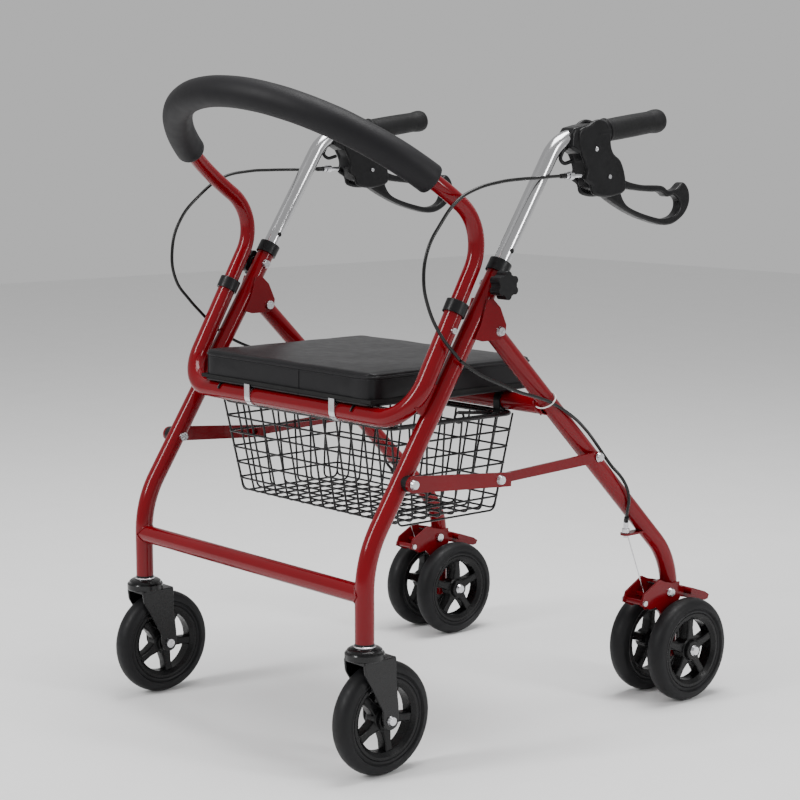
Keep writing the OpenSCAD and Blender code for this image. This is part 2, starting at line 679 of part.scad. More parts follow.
// A flat grille between a bottom edge of length b and a top edge of length t, h high
module grille(b, t, h, across_n, up_n) translate([0, 0, -wire / 2]) linear_extrude(wire) {
    for (i = [0 : across_n]) let (f = i / across_n - 0.5)
        polygon([
            [f * (b - wire) - wire / 2, 0], [f * (b - wire) + wire / 2, 0],
            [f * (t - wire) + wire / 2, h], [f * (t - wire) - wire / 2, h]
        ]);
    for (j = [0 : up_n]) let (y = j / up_n * (h - wire), w = b + (t - b) * (y + wire / 2) / h - wire)
        translate([-w / 2, y]) square([w, wire]);
}
wall_top_z = rim_z - rim_r - 0.3;
module leaning(y0, y1) {
    rise = wall_top_z - basket_z - wire;
    translate([0, y0, basket_z + wire]) rotate([atan2(rise, y1 - y0), 0, 0]) children();
}
module end_wall(y0, y1, b, t) leaning(y0, y1) grille(b, t, norm([wall_top_z - basket_z - wire, y1 - y0]), 12, 5);
module side_wall(s) {
    rise = wall_top_z - basket_z - wire;
    lean = (rim_w - floor_w) / 2;
    depth_low = floor_back_y - floor_front_y - 3 * wire;
    depth_high = rim_back_y - rim_front_y - 3 * wire;
    translate([s * (floor_w / 2 - wire), (floor_front_y + floor_back_y) / 2, basket_z + wire]) rotate([0, 0, s * 90])
        rotate([90, 0, 0]) rotate([-atan2(lean, rise), 0, 0]) grille(depth_low, depth_high, norm([rise, lean]), 7, 5);
}
module basket() color([0.07, 0.07, 0.08]) placed() {
    translate([0, floor_front_y, basket_z]) grille_floor();
    end_wall(floor_front_y, rim_front_y, floor_w - wire, rim_w - wire);
    end_wall(floor_back_y, rim_back_y, floor_w - wire, rim_w - wire);
    for (s = [left, right]) side_wall(s);
}
module grille_floor() grille(floor_w, floor_w, floor_back_y - floor_front_y, 14, 9);
rim_corner_r = 14;
rim_half = rim_w / 2;
bail_r = 2.5;
bail_half = rim_half - 6.5;
bail_corner_r = 12;
bail_line = [[bail_half, 228, 449], [bail_half, 303, 441], [-bail_half, 303, 441], [-bail_half, 228, 449]];
hook_r = 1.5;
hook_foot = (tube_r + 0.1 + hook_r) * [cos(60), -sin(60), 0];
rim_from_bar = [rim_front_y - bar_y, rim_z - bar_z, 0];
module rim_hook(x) translate([x, bar_y, bar_z]) rotate([90, 0, 90]) {
    rotate([0, 0, -60]) rotate_extrude(angle = 160) translate([tube_r + 0.1 + hook_r, 0]) circle(hook_r);
    stick(hook_foot - unit(rim_from_bar - hook_foot) * lap, rim_from_bar, hook_r - bend_step);
}
module basket_rim() color([0.07, 0.07, 0.08]) placed() {
    // closed rim rod and its hooks over the seat tube
    bent_loop([
        [rim_half, rim_front_y, rim_z], [rim_half, rim_back_y, rim_z],
        [-rim_half, rim_back_y, rim_z], [-rim_half, rim_front_y, rim_z]
    ], rim_corner_r, rim_r);
    for (x = [-150, 150]) rim_hook(x);
    // carry handle, folded down to the back
    bent_bar(bail_line, [0, bail_corner_r, bail_corner_r, 0], bail_r);
}

// ---------- brake cables ----------
function mirrored(route, side) = [for (p = route) [side * (leg_x + p[0]), p[1], p[2]]];
upper_route_left = [
    [9, 347, 770.5], [13, 320, 770], [18, 289, 769], [19.5, 252, 768], [19.5, 216, 765], [19.5, 171, 756],
    [19.5, 140, 742], [19.5, 111, 713], [19.5, 90, 682], [19.5, 83, 644], [19.5, 90, 611], [19.5, 111, 573],
    [19.5, 145, 537]
];
upper_route_right = [
    [9, 347, 770.5], [13, 320, 770], [18, 289, 770], [19.5, 252, 770], [19.5, 215, 769], [19.5, 163, 760],
    [19.5, 122, 735], [19.5, 86, 699], [19.5, 71, 656], [19.5, 77, 611], [19.5, 101, 580], [19.5, 121, 560],
    [19.5, 145, 537]
];
lower_route = [
    [19.5, 147, 535], [19.5, 182, 514], [19.5, 220, 498], [19, 256, 484], [17.5, 290, 474], [16, 318, 464],
    [16, 357, 443], [7, 396, 418], [0, 427, 392], [6, 448, 363], [17, 466, 337], [17, 477, 312],
    [11.5, 480, 291], [0, 490, 275]
];
module upper_cables() color([0.06, 0.06, 0.06]) placed() {
    cord(mirrored(upper_route_left, left), cable_d / 2);
    cord(mirrored(upper_route_right, right), cable_d / 2);
}
brake_wire = [[0, 490, 251], [0, 531, 164.5]];
module lower_cables() color([0.06, 0.06, 0.06]) placed() for (side = [left, right]) {
    cord(mirrored(lower_route, side), cable_d / 2);
    cord(mirrored(brake_wire, side), 0.8);
}

front_legs();
lower_crossbar();
seat_u_tube();
frame_brackets();
tube_collars();
stem_bushings();
frame_bolts();
link_spacers();
backrest_tube();
backrest_foam();
upper_cables();
snap_button(left);  // snap_button_left
snap_button(right);  // snap_button_right
caster_fork(left);  // caster_fork_left
caster_fork(right);  // caster_fork_right
caster_tyre(left);  // caster_tyre_left
caster_tyre(right);  // caster_tyre_right
caster_hub(left);  // caster_hub_left
caster_hub(right);  // caster_hub_right
caster_hardware(left);  // caster_hardware_left
caster_hardware(right);  // caster_hardware_right
rear_legs();
rear_crossbar();
rear_brackets();
rear_fasteners();
leg_plugs();
basket_straps();
brake_springs();
lower_cables();
rear_tyre(left, outer);  // rear_tyre_left_outer
rear_tyre(left, inner);  // rear_tyre_left_inner
rear_tyre(right, inner);  // rear_tyre_right_inner
rear_tyre(right, outer);  // rear_tyre_right_outer
rear_hub(left, outer);  // rear_hub_left_outer
rear_hub(left, inner);  // rear_hub_left_inner
rear_hub(right, inner);  // rear_hub_right_inner
rear_hub(right, outer);  // rear_hub_right_outer
brake_arm(left);  // brake_arm_left
brake_arm(right);  // brake_arm_right
handle_tube(left);  // handle_tube_left
handle_tube(right);  // handle_tube_right
grip(left);  // grip_left
grip(right);  // grip_right
brake_housing(left);  // brake_housing_left
brake_housing(right);  // brake_housing_right
brake_lever(left);  // brake_lever_left
brake_lever(right);  // brake_lever_right
lever_hardware(left);  // lever_hardware_left
lever_hardware(right);  // lever_hardware_right
knob(left);  // knob_left
knob(right);  // knob_right
front_link(left);  // front_link_left
front_link(right);  // front_link_right
rear_link(left);  // rear_link_left
rear_link(right);  // rear_link_right
seat_cushion();
seat_board();
seat_clips();
basket();
basket_rim();
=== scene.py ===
"""The looks of the folding walker: red enamel, chrome, plastics, foam, vinyl and wire on the CAD frame."""

import json
import math

import bmesh
import bpy
from mathutils import Matrix, Vector, noise
from mathutils.bvhtree import BVHTree


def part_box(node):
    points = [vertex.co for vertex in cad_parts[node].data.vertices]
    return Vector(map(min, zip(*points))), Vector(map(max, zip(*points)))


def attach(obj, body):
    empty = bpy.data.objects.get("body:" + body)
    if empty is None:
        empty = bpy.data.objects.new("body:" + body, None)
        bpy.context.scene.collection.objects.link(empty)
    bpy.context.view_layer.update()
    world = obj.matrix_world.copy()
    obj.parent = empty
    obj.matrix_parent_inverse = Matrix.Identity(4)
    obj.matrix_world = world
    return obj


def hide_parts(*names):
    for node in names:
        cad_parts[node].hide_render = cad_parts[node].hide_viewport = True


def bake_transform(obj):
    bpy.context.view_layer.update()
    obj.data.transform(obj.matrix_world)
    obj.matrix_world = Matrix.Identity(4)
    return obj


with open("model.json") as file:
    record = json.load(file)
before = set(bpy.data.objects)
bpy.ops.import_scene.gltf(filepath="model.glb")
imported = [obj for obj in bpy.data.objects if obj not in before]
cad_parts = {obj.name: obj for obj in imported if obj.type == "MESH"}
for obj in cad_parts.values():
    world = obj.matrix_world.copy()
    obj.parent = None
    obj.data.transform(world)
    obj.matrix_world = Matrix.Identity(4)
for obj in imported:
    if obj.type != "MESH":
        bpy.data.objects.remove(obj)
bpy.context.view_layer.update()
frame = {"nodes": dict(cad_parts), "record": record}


MM = 0.001
SIDES = {"left": 1, "right": -1}

# ---------- places, in mm: x from the middle, y back from the caster stems, z up ----------
STEM_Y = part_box("caster_tyre_left")[0][1] + (76 - 27) * MM
LEG_X = 253.5
LEG_LEAN = math.radians(32.7)
LEG_BOTTOM_Z, LEG_BEND_Z, LEG_TOP_Z = 180, 288.6, 656
LEG_BEND_R = 150
ARCH_TILT = math.radians(35.4)
ARCH_R = 252
ARCH_BASE = (214.43, 702.3)
ARCH_LEG = 60
GRIP_SLOPE = math.radians(7.2)
AXLE = (584.5, 76)
CASTER_AXLE = (27, 76)
ARM_AXIS = (568, 160)
CROSS_BAR = (325, 457)
LOW_BAR_Z = 243
SEAT_BAR = (76.5, 458.5)
TUBE_R = 12.7
TWIN_GAP = 37.1
HANDLE_BEND_Z = 819
GRIP_FROM = 92
HANDLE_END = 205


def at(x, y, z):
    """A point given in mm as x, y back from the stems and z, in the row frame in metres."""
    return Vector((x * MM, STEM_Y + y * MM, z * MM))


def off_leg(side, dx, y, z):
    """A point dx outboard of one side's leg plane."""
    return at(SIDES[side] * (LEG_X + dx), y, z)


def leg_y(z):
    """How far back the sloping front leg's axis is at height z."""
    return (z - LEG_BEND_Z) * math.tan(LEG_LEAN)


HANDLE_CORNER = (leg_y(HANDLE_BEND_Z), HANDLE_BEND_Z)
GRIP_WAY = Vector((0, math.cos(GRIP_SLOPE), math.sin(GRIP_SLOPE)))


# ---------- materials ----------
def surface(name, color, rough, metal=0.0, coat=0.0, tone=0.1, tone_scale=9.0, grain=(0, 0), cells=False,
            spread=0.08, edge=0.0, shine=0.22):
    """A material with patchy tone, uneven gloss and a fine bump. grain is (size in mm, depth in mm)."""
    made = bpy.data.materials.new(name)
    made.use_nodes = True
    nodes, links = made.node_tree.nodes, made.node_tree.links
    shader = nodes["Principled BSDF"]
    shader.inputs["Metallic"].default_value = metal
    shader.inputs["Coat Weight"].default_value = coat
    shader.inputs["Coat Roughness"].default_value = 0.06
    shader.inputs["Specular IOR Level"].default_value = shine
    where = nodes.new("ShaderNodeTexCoord").outputs["Object"]
    patches = nodes.new("ShaderNodeTexNoise")
    patches.inputs["Scale"].default_value = tone_scale
    patches.inputs["Detail"].default_value = 6
    links.new(where, patches.inputs["Vector"])
    ramp = nodes.new("ShaderNodeValToRGB")
    ramp.color_ramp.elements[0].position = 0.3
    ramp.color_ramp.elements[1].position = 0.72
    ramp.color_ramp.elements[0].color = [c * (1 - tone) for c in color] + [1]
    ramp.color_ramp.elements[1].color = [min(c * (1 + tone), 1) for c in color] + [1]
    links.new(patches.outputs["Fac"], ramp.inputs["Fac"])
    links.new(ramp.outputs["Color"], shader.inputs["Base Color"])
    smudges = nodes.new("ShaderNodeTexNoise")
    smudges.inputs["Scale"].default_value = tone_scale * 5
    smudges.inputs["Detail"].default_value = 8
    links.new(where, smudges.inputs["Vector"])
    gloss = nodes.new("ShaderNodeMapRange")
    gloss.inputs["From Min"].default_value = 0.35
    gloss.inputs["From Max"].default_value = 0.7
    gloss.inputs["To Min"].default_value = max(rough - spread, 0.03)
    gloss.inputs["To Max"].default_value = rough + spread
    links.new(smudges.outputs["Fac"], gloss.inputs["Value"])
    links.new(gloss.outputs["Result"], shader.inputs["Roughness"])
    normal = None
    if edge:
        soft = nodes.new("ShaderNodeBevel")
        soft.samples = 4
        soft.inputs["Radius"].default_value = edge * MM
        normal = soft.outputs["Normal"]
    if grain[0]:
        pattern = nodes.new("ShaderNodeTexVoronoi" if cells else "ShaderNodeTexNoise")
        pattern.inputs["Scale"].default_value = 1 / (grain[0] * MM)
        links.new(where, pattern.inputs["Vector"])
        bump = nodes.new("ShaderNodeBump")
        bump.inputs["Strength"].default_value = 1.0
        bump.inputs["Distance"].default_value = grain[1] * MM
        links.new(pattern.outputs[0], bump.inputs["Height"])
        if normal:
            links.new(normal, bump.inputs["Normal"])
        normal = bump.outputs["Normal"]
    if normal:
        links.new(normal, shader.inputs["Normal"])
    return made


LOOKS = {
    "paint_red": surface("red enamel", (0.155, 0.0003, 0.004), 0.15, coat=0.12, tone=0.08, spread=0.015),
    # paint_dark is the same red enamel made a little darker: painted shade on the parts of this slot
    "paint_dark": surface("red enamel with painted shade", (0.14, 0.0003, 0.0036), 0.17, coat=0.12, tone=0.12,
                          grain=(1.6, 0.008), spread=0.03, edge=0.6),
    "chrome": surface("chrome plate", (0.55, 0.55, 0.56), 0.17, metal=1.0, tone=0.03, tone_scale=30,
                      spread=0.004, shine=0.5),
    "zinc": surface("zinc plate", (0.62, 0.62, 0.64), 0.26, metal=1.0, tone=0.14, tone_scale=90,
                    grain=(0.6, 0.02), edge=0.5),
    "black_plastic": surface("black nylon", (0.006, 0.006, 0.0066), 0.36, tone=0.25, tone_scale=40,
                             grain=(0.5, 0.035), edge=0.6),
    "black_steel": surface("black powder coat", (0.0045, 0.0045, 0.005), 0.26, coat=0.25, tone=0.25,
                           tone_scale=40, grain=(0.9, 0.004)),
    "foam": surface("foam skin", (0.0075, 0.0072, 0.0085), 0.56, tone=0.14, tone_scale=14, grain=(0.7, 0.05),
                    spread=0.03),
    "grip_foam": surface("soft grip", (0.006, 0.006, 0.0065), 0.55, tone=0.25, tone_scale=60,
                         grain=(0.6, 0.12), cells=True),
    "tyre": surface("solid tyre", (0.007, 0.007, 0.0078), 0.5, tone=0.3, tone_scale=35, grain=(0.8, 0.06)),
    "hub_plastic": surface("moulded hub", (0.005, 0.005, 0.0054), 0.32, tone=0.2, tone_scale=50,
                           grain=(0.7, 0.03), edge=0.8),
    "cable": surface("cable housing", (0.005, 0.005, 0.005), 0.3, coat=0.2, tone=0.2, tone_scale=30,
                     grain=(0.9, 0.03)),
    "vinyl": surface("black vinyl", (0.0065, 0.0062, 0.0072), 0.4, tone=0.1, tone_scale=16, grain=(1.1, 0.1),
                     cells=True, spread=0.03),
    "board": surface("black board", (0.006, 0.006, 0.006), 0.6, tone=0.3, tone_scale=60, grain=(0.9, 0.1)),
    "wire_black": surface("dipped wire", (0.006, 0.006, 0.0066), 0.3, coat=0.3, tone=0.2, tone_scale=60,
                          grain=(1.3, 0.08)),
}
BARE_STEEL = surface("bare brake wire", (0.62, 0.62, 0.63), 0.3, metal=1.0, tone=0.2, grain=(0.5, 0.05))
TIE_WHITE = surface("white cable tie", (0.75, 0.75, 0.73), 0.4, tone=0.05, grain=(0.8, 0.03))
THREAD = surface("black thread", (0.03, 0.029, 0.032), 0.5, tone=0.2, tone_scale=200, grain=(0.3, 0.05))


# ---------- builders ----------
def shade(piece, angle=38):
    """Smooth shading with a sharp edge wherever two faces meet at more than angle degrees."""
    mesh = piece.data
    mesh.polygons.foreach_set("use_smooth", [True] * len(mesh.polygons))
    mesh.set_sharp_from_angle(angle=math.radians(angle))


def piece_of(name, mesh, body, look, angle=38):
    """An object from a mesh in row coordinates, which rides body and takes its finish from look."""
    piece = bpy.data.objects.new(name, mesh)
    bpy.context.collection.objects.link(piece)
    mesh.materials.clear()
    mesh.materials.append(LOOKS.get(look, look) if isinstance(look, str) else look)
    shade(piece, angle)
    if body:
        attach(piece, body)
    return piece


def mesh_from_curve(curve, matrix=None):
    """The curve's mesh, moved by matrix. The curve itself is removed."""
    holder = bpy.data.objects.new("holder", curve)
    bpy.context.collection.objects.link(holder)
    bpy.context.view_layer.update()
    evaluated = holder.evaluated_get(bpy.context.evaluated_depsgraph_get())
    mesh = bpy.data.meshes.new_from_object(evaluated)
    bpy.data.objects.remove(holder)
    bpy.data.curves.remove(curve)
    if matrix:
        mesh.transform(matrix)
    return mesh


def wires(name, runs, radius, body, look, sides=4, smooth=False, steps=6):
    """Round wire along each run of points in metres. A run that ends where it starts is closed."""
    curve = bpy.data.curves.new(name, "CURVE")
    curve.dimensions = "3D"
    curve.bevel_depth = radius * MM
    curve.bevel_resolution = sides
    curve.resolution_u = steps
    curve.use_fill_caps = True
    for run in runs:
        closed = (run[0] - run[-1]).length < 1e-6
        points = run[:-1] if closed else run
        if smooth:
            spline = curve.splines.new("BEZIER")
            spline.bezier_points.add(len(points) - 1)
            for knot, point in zip(spline.bezier_points, points):
                knot.co = point
                knot.handle_left_type = knot.handle_right_type = "AUTO"
        else:
            spline = curve.splines.new("POLY")
            spline.points.add(len(points) - 1)
            for knot, point in zip(spline.points, points):
                knot.co = (*point, 1)
        spline.use_cyclic_u = closed
    return piece_of(name, mesh_from_curve(curve), body, look, 60)


def rounded(points, radius, steps=5, closed=True):
    """Points with each corner replaced by a short curve. radius is in the points' own unit."""
    points = [Vector(point) for point in points]
    out, count = [], len(points)
    for i, corner in enumerate(points):
        if not closed and i in (0, count - 1):
            out.append(corner)
            continue
        before, after = points[i - 1], points[(i + 1) % count]
        cut = min(radius, (before - corner).length * 0.45, (after - corner).length * 0.45)
        start = corner + (before - corner).normalized() * cut
        end = corner + (after - corner).normalized() * cut
        for k in range(steps + 1):
            t = k / steps
            out.append(start * (1 - t) ** 2 + corner * 2 * t * (1 - t) + end * t * t)
    return out


def plate(name, outlines, x_from, x_to, bevel, body, look, side="left", corner=0.0, steps=2):
    """Side-view outlines in (y, z) mm, made thick along X from x_from to x_to mm outboard of the leg plane."""
    curve = bpy.data.curves.new(name, "CURVE")
    curve.dimensions = "2D"
    curve.fill_mode = "BOTH"
    curve.extrude = max((x_to - x_from) / 2 - bevel, 0.01) * MM
    curve.bevel_depth = bevel * MM
    curve.bevel_resolution = steps
    curve.offset = -bevel * MM
    for outline in outlines:
        ring = [Vector((y, z, 0)) for y, z in outline]
        if corner:
            ring = rounded(ring, corner)
        spline = curve.splines.new("POLY")
        spline.points.add(len(ring) - 1)
        for knot, point in zip(spline.points, ring):
            knot.co = (point.x * MM, point.y * MM, 0, 1)
        spline.use_cyclic_u = True
    x = SIDES[side] * (LEG_X + (x_from + x_to) / 2) * MM
    stand = Matrix(((0, 0, 1, x), (1, 0, 0, STEM_Y), (0, 1, 0, 0), (0, 0, 0, 1)))
    return piece_of(name, mesh_from_curve(curve, stand), body, look, 32)


def lathe(name, profile, centre, axis, body, look, steps=72, angle=38):
    """A turned piece: profile is (radius, distance along axis) in mm."""
    turn = axis.to_track_quat("Z", "Y")
    mesh_maker = bmesh.new()
    rings = []
    for radius, height in profile:
        ring = []
        for k in range(1 if radius == 0 else steps):
            a = 2 * math.pi * k / steps
            local = Vector((radius * math.cos(a), radius * math.sin(a), height)) * MM
            ring.append(mesh_maker.verts.new(centre + turn @ local))
        rings.append(ring)
    for low, high in zip(rings, rings[1:]):
        for k in range(steps):
            n = k + 1
            corners = [low[k % len(low)], low[n % len(low)], high[n % len(high)], high[k % len(high)]]
            corners = list(dict.fromkeys(corners))
            if len(corners) > 2:
                mesh_maker.faces.new(corners)
    bmesh.ops.recalc_face_normals(mesh_maker, faces=mesh_maker.faces)
    mesh = bpy.data.meshes.new(name)
    mesh_maker.to_mesh(mesh)
    mesh_maker.free()
    return piece_of(name, mesh, body, look, angle)


# ---------- camera, light and floor ----------
def make_camera():
    camera = bpy.data.objects.new("camera", bpy.data.cameras.new("camera"))
    bpy.context.collection.objects.link(camera)
    camera.data.lens = 88.2
    camera.location = (2.1358, STEM_Y - 1.5670, 0.8429)
    camera.rotation_euler = (math.pi / 2 - 0.141, 0, 0.858)
    bpy.context.scene.camera = camera


def area_light(name, place, aim, size, watts):
    lamp = bpy.data.lights.new(name, "AREA")
    lamp.shape = "RECTANGLE"
    lamp.size, lamp.size_y = size
    lamp.energy = watts
    holder = bpy.data.objects.new(name, lamp)
    bpy.context.collection.objects.link(holder)
    holder.location = place
    holder.rotation_euler = (Vector(aim) - Vector(place)).to_track_quat("-Z", "Y").to_euler()


def make_studio():
    """A light floor, a white world and three lamps."""
    bpy.ops.mesh.primitive_plane_add(size=14, location=(0, 0, 0))
    floor = bpy.context.object
    floor.name = "floor"
    floor.data.materials.append(surface("floor", (0.86, 0.86, 0.86), 0.8, tone=0.01, grain=(3, 0.05)))
    world = bpy.data.worlds.new("studio")
    bpy.context.scene.world = world
    world.use_nodes = True
    world.node_tree.nodes["Background"].inputs["Color"].default_value = (1, 1, 1, 1)
    world.node_tree.nodes["Background"].inputs["Strength"].default_value = 0.55
    area_light("key", (-0.6, -3.0, 2.4), (0, 0, 0.5), (0.7, 1.8), 80)
    area_light("top", (0.2, 0.3, 3.0), (0, 0, 0.3), (1.6, 1.6), 80)
    area_light("side", (3.2, 1.0, 1.7), (0, 0, 0.5), (0.4, 1.8), 45)


# ---------- CAD nodes that stay: their finish ----------
REPLACED = set()


def stand_in(piece, *nodes):
    """Puts a piece in place of CAD nodes, which then need no finish of their own."""
    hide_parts(*nodes)
    REPLACED.update(nodes)


def finish_cad_nodes():
    """Gives each CAD node that stays the finish of its material slot."""
    slots = {part["node"]: part["material_slot"] for part in frame["record"]["subparts"]}
    for node, holder in frame["nodes"].items():
        if node in REPLACED:
            continue
        mesh = holder.data
        mesh.materials.clear()
        mesh.materials.append(LOOKS[slots[node]])
        shade(holder, 28)
        for start, (place, reach) in SILVER_SPOTS.items():
            if node.startswith(start):
                silver_spot(holder, place, reach)


# Rivets and bolt heads that are silver on a painted node: their (y, z) and how far they are from the leg plane
SILVER_SPOTS = {
    "front_link": ((217, 370), 24.03),
    "caster_hardware": (CASTER_AXLE, 21.4),
    "brake_arm": ((512, 152), 18.9),
}


def silver_spot(holder, place, reach):
    """Zinc on the faces round place that lie further than reach from the leg plane."""
    mid = at(0, *place)
    holder.data.materials.append(LOOKS["zinc"])
    for face in holder.data.polygons:
        spot = holder.matrix_world @ face.center
        near = math.hypot(spot.y - mid.y, spot.z - mid.z) < 7.3 * MM
        if near and abs(abs(spot.x) - LEG_X * MM) > reach * MM:
            face.material_index = 1


# ---------- frame tubes, as smooth sweeps with true arcs ----------
CHROME_R = 11.1
BACKREST_R = 11
BACKREST_BEND_R = 66
BACKREST_END = (125.48, 545.08)
SOCKET_TOP = (160, 606)
SEAT_U_BEND_R = 57
REAR_LEG_TOP = (210.4, 579.6)
REAR_BEND_Z, REAR_LEG_END_Z = 205.5, 60
REAR_BEND_R = 110
HANDLE_LOW_Z = 520
HANDLE_BEND_R = 60
HOLE_R, HOLE_PITCH, HOLE_Z = 3.5, 25.4, 630.5


def bent(corners, bends):
    """Points of a bar through the corners, each inner corner an arc of its own bend radius in mm."""
    out = [corners[0]]
    for before, corner, after, bend in zip(corners, corners[1:], corners[2:], bends):
        into, away = (corner - before).normalized(), (after - corner).normalized()
        angle, radius = into.angle(away), bend * MM
        start = corner - into * radius * math.tan(angle / 2)
        inward = (away - into * into.dot(away)).normalized()
        count = max(round(math.degrees(angle) / 3), 4)
        for k in range(count + 1):
            a = angle * k / count
            out.append(start + inward * radius * (1 - math.cos(a)) + into * radius * math.sin(a))
    return out + [corners[-1]]


def tube(name, runs, radius, body, look, node):
    """A swept tube in place of a CAD node."""
    stand_in(wires(name, runs, radius, body, look, 12), node)


def make_tubes():
    """The red frame tubes and the chromed handle tubes."""
    front_leg = [(0, 0, LEG_BOTTOM_Z), (0, 0, LEG_BEND_Z), (0, leg_y(LEG_TOP_Z), LEG_TOP_Z)]
    rear_leg = [(0, *REAR_LEG_TOP), (0, AXLE[0], REAR_BEND_Z), (0, AXLE[0], REAR_LEG_END_Z)]
    pair = [bent([off_leg(side, *p) for p in front_leg], [LEG_BEND_R]) for side in SIDES]
    tube("front_leg_tubes", pair, TUBE_R, "frame", "paint_red", "front_legs")
    pair = [bent([off_leg(side, *p) for p in rear_leg], [REAR_BEND_R]) for side in SIDES]
    tube("rear_leg_tubes", pair, TUBE_R, "rear_frame", "paint_red", "rear_legs")
    seat_u = [at(ARCH_R, *SOCKET_TOP), at(ARCH_R, *SEAT_BAR)]
    seat_u += [at(-ARCH_R, *SEAT_BAR), at(-ARCH_R, *SOCKET_TOP)]
    tube("seat_u_sweep", [bent(seat_u, [SEAT_U_BEND_R] * 2)], TUBE_R, "frame", "paint_red", "seat_u_tube")
    halves = {}
    for side, s in SIDES.items():
        low, base = at(s * ARCH_R, *BACKREST_END), at(s * ARCH_R, *ARCH_BASE)
        halves[side] = bent([low, base, arch_point(0 if s > 0 else math.pi)[0]], [BACKREST_BEND_R])
    arch = [arch_point(math.pi * k / 90)[0] for k in range(1, 90)]
    whole = halves["left"] + arch + list(reversed(halves["right"]))
    tube("backrest_sweep", [whole], BACKREST_R, "frame", "paint_red", "backrest_tube")
    for side in SIDES:
        corner = off_leg(side, 0, *HANDLE_CORNER)
        end = corner + GRIP_WAY * HANDLE_END * MM
        run = bent([off_leg(side, 0, leg_y(HANDLE_LOW_Z), HANDLE_LOW_Z), corner, end], [HANDLE_BEND_R])
        tube("chrome_tube_" + side, [run], CHROME_R, "handle_" + side, "chrome", "handle_tube_" + side)
        # black discs at the height holes on both sides of the tube: painted shade, not holes cut in it
        hole_shade_discs(side)


def hole_shade_discs(side):
    """Thin black discs at the height holes on both sides of a chrome tube, one pitch apart: painted shade for
    the dark inside of each hole.
    """
    disc = [(0, 0), (HOLE_R, 0), (HOLE_R, 0.62), (0, 0.62)]
    for i in range(6):
        z = HOLE_Z + (i - 3) * HOLE_PITCH * math.cos(LEG_LEAN)
        for sign, tag in ((1, "out"), (-1, "in")):
            mouth = off_leg(side, sign * (CHROME_R - 0.6), leg_y(z), z)
            out = Vector((SIDES[side] * sign, 0, 0))
            lathe(f"height_hole_{side}_{i}_{tag}", disc, mouth, out, "handle_" + side, "board", 24)


# ---------- brake cables ----------
UPPER_LEFT = [
    (9, 347, 770.5), (13, 320, 770), (18, 289, 769), (19.5, 252, 768), (19.5, 216, 765), (19.5, 171, 756),
    (19.5, 140, 742), (19.5, 111, 713), (19.5, 90, 682), (19.5, 83, 644), (19.5, 90, 611), (19.5, 111, 573),
    (19.5, 145, 537),
]
UPPER_RIGHT = [
    (9, 347, 770.5), (13, 320, 770), (18, 289, 770), (19.5, 252, 770), (19.5, 215, 769), (19.5, 163, 760),
    (19.5, 122, 735), (19.5, 86, 699), (19.5, 71, 656), (19.5, 77, 611), (19.5, 101, 580), (19.5, 121, 560),
    (19.5, 145, 537),
]
LOWER = [
    (19.5, 147, 535), (19.5, 182, 514), (19.5, 220, 498), (19, 256, 484), (17.5, 290, 474), (16, 318, 464),
    (16, 357, 443), (7, 396, 418), (0, 427, 392), (6, 448, 363), (17, 466, 337), (17, 477, 312),
    (11.5, 480, 291), (0, 490, 275),
]
CABLE_R = 2.3


def make_cables():
    """The cables' outer casings, the bare wires below them and the ferrules."""
    for side in SIDES:
        upper = UPPER_LEFT if side == "left" else UPPER_RIGHT
        run = [off_leg(side, *point) for point in upper]
        cable = wires("upper_cable_" + side, [run], CABLE_R, None, "cable", smooth=True)
        stand_in(cable, "upper_cables")
        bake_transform(cable)
        run = [off_leg(side, *point) for point in LOWER]
        cable = wires("lower_cable_" + side, [run], CABLE_R, None, "cable", smooth=True)
        stand_in(cable, "lower_cables")
        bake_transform(cable)
        top, low = off_leg(side, 0, 490, 262), off_leg(side, 0, 531, 162)
        inner = wires("brake_wire_" + side, [[top, low]], 0.8, None, BARE_STEEL)
        stand_in(inner, "lower_cables")
        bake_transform(inner)
        # crimped ferrules at both ends of the outer casing
        away = off_leg(side, *UPPER_LEFT[1]) - off_leg(side, *UPPER_LEFT[0])
        lathe("upper_ferrule_" + side, [(0, 0), (3.2, 0), (3.4, 1), (3.4, 11), (2.8, 13), (0, 13)],
              off_leg(side, 9, 349, 770.5), away.normalized(), "handle_" + side, "black_plastic", 24)
        away = off_leg(side, *LOWER[-2]) - off_leg(side, *LOWER[-1])
        lathe("lower_ferrule_" + side, [(0, 0), (3.2, 0), (3.4, 1), (3.4, 10), (2.8, 12), (0, 12)],
              off_leg(side, 0, 490, 273), away.normalized(), "rear_frame", "black_plastic", 24)


def make_cable_ties():
    """A white tie that holds the lower cable to each rear leg."""
    for side in SIDES:
        centre = off_leg(side, 1.2, 322, 465.5)
        along = Vector((0, 1, -1)).normalized()
        across, up = Vector((1, 0, 0)), along.cross(Vector((1, 0, 0)))
        ring = []
        for k in range(37):
            a = 2 * math.pi * k / 36
            ring.append(centre + (across * 17.2 * math.cos(a) + up * 14.3 * math.sin(a)) * MM)
        ring[-1] = ring[0]
        tie = wires("cable_tie_" + side, [ring], 1.1, "rear_frame", TIE_WHITE, 3)


# ---------- backrest foam ----------
FOAM_R = 21


def arch_point(angle, radius=ARCH_R):
    """A point of the backrest arch and the direction from its middle, angle in radians from the left end."""
    lean = Vector((0, -math.cos(ARCH_TILT), math.sin(ARCH_TILT)))
    middle = at(0, *ARCH_BASE) + lean * ARCH_LEG * MM
    out = Vector((math.cos(angle), 0, 0)) + lean * math.sin(angle)
    return middle + out * radius * MM, out


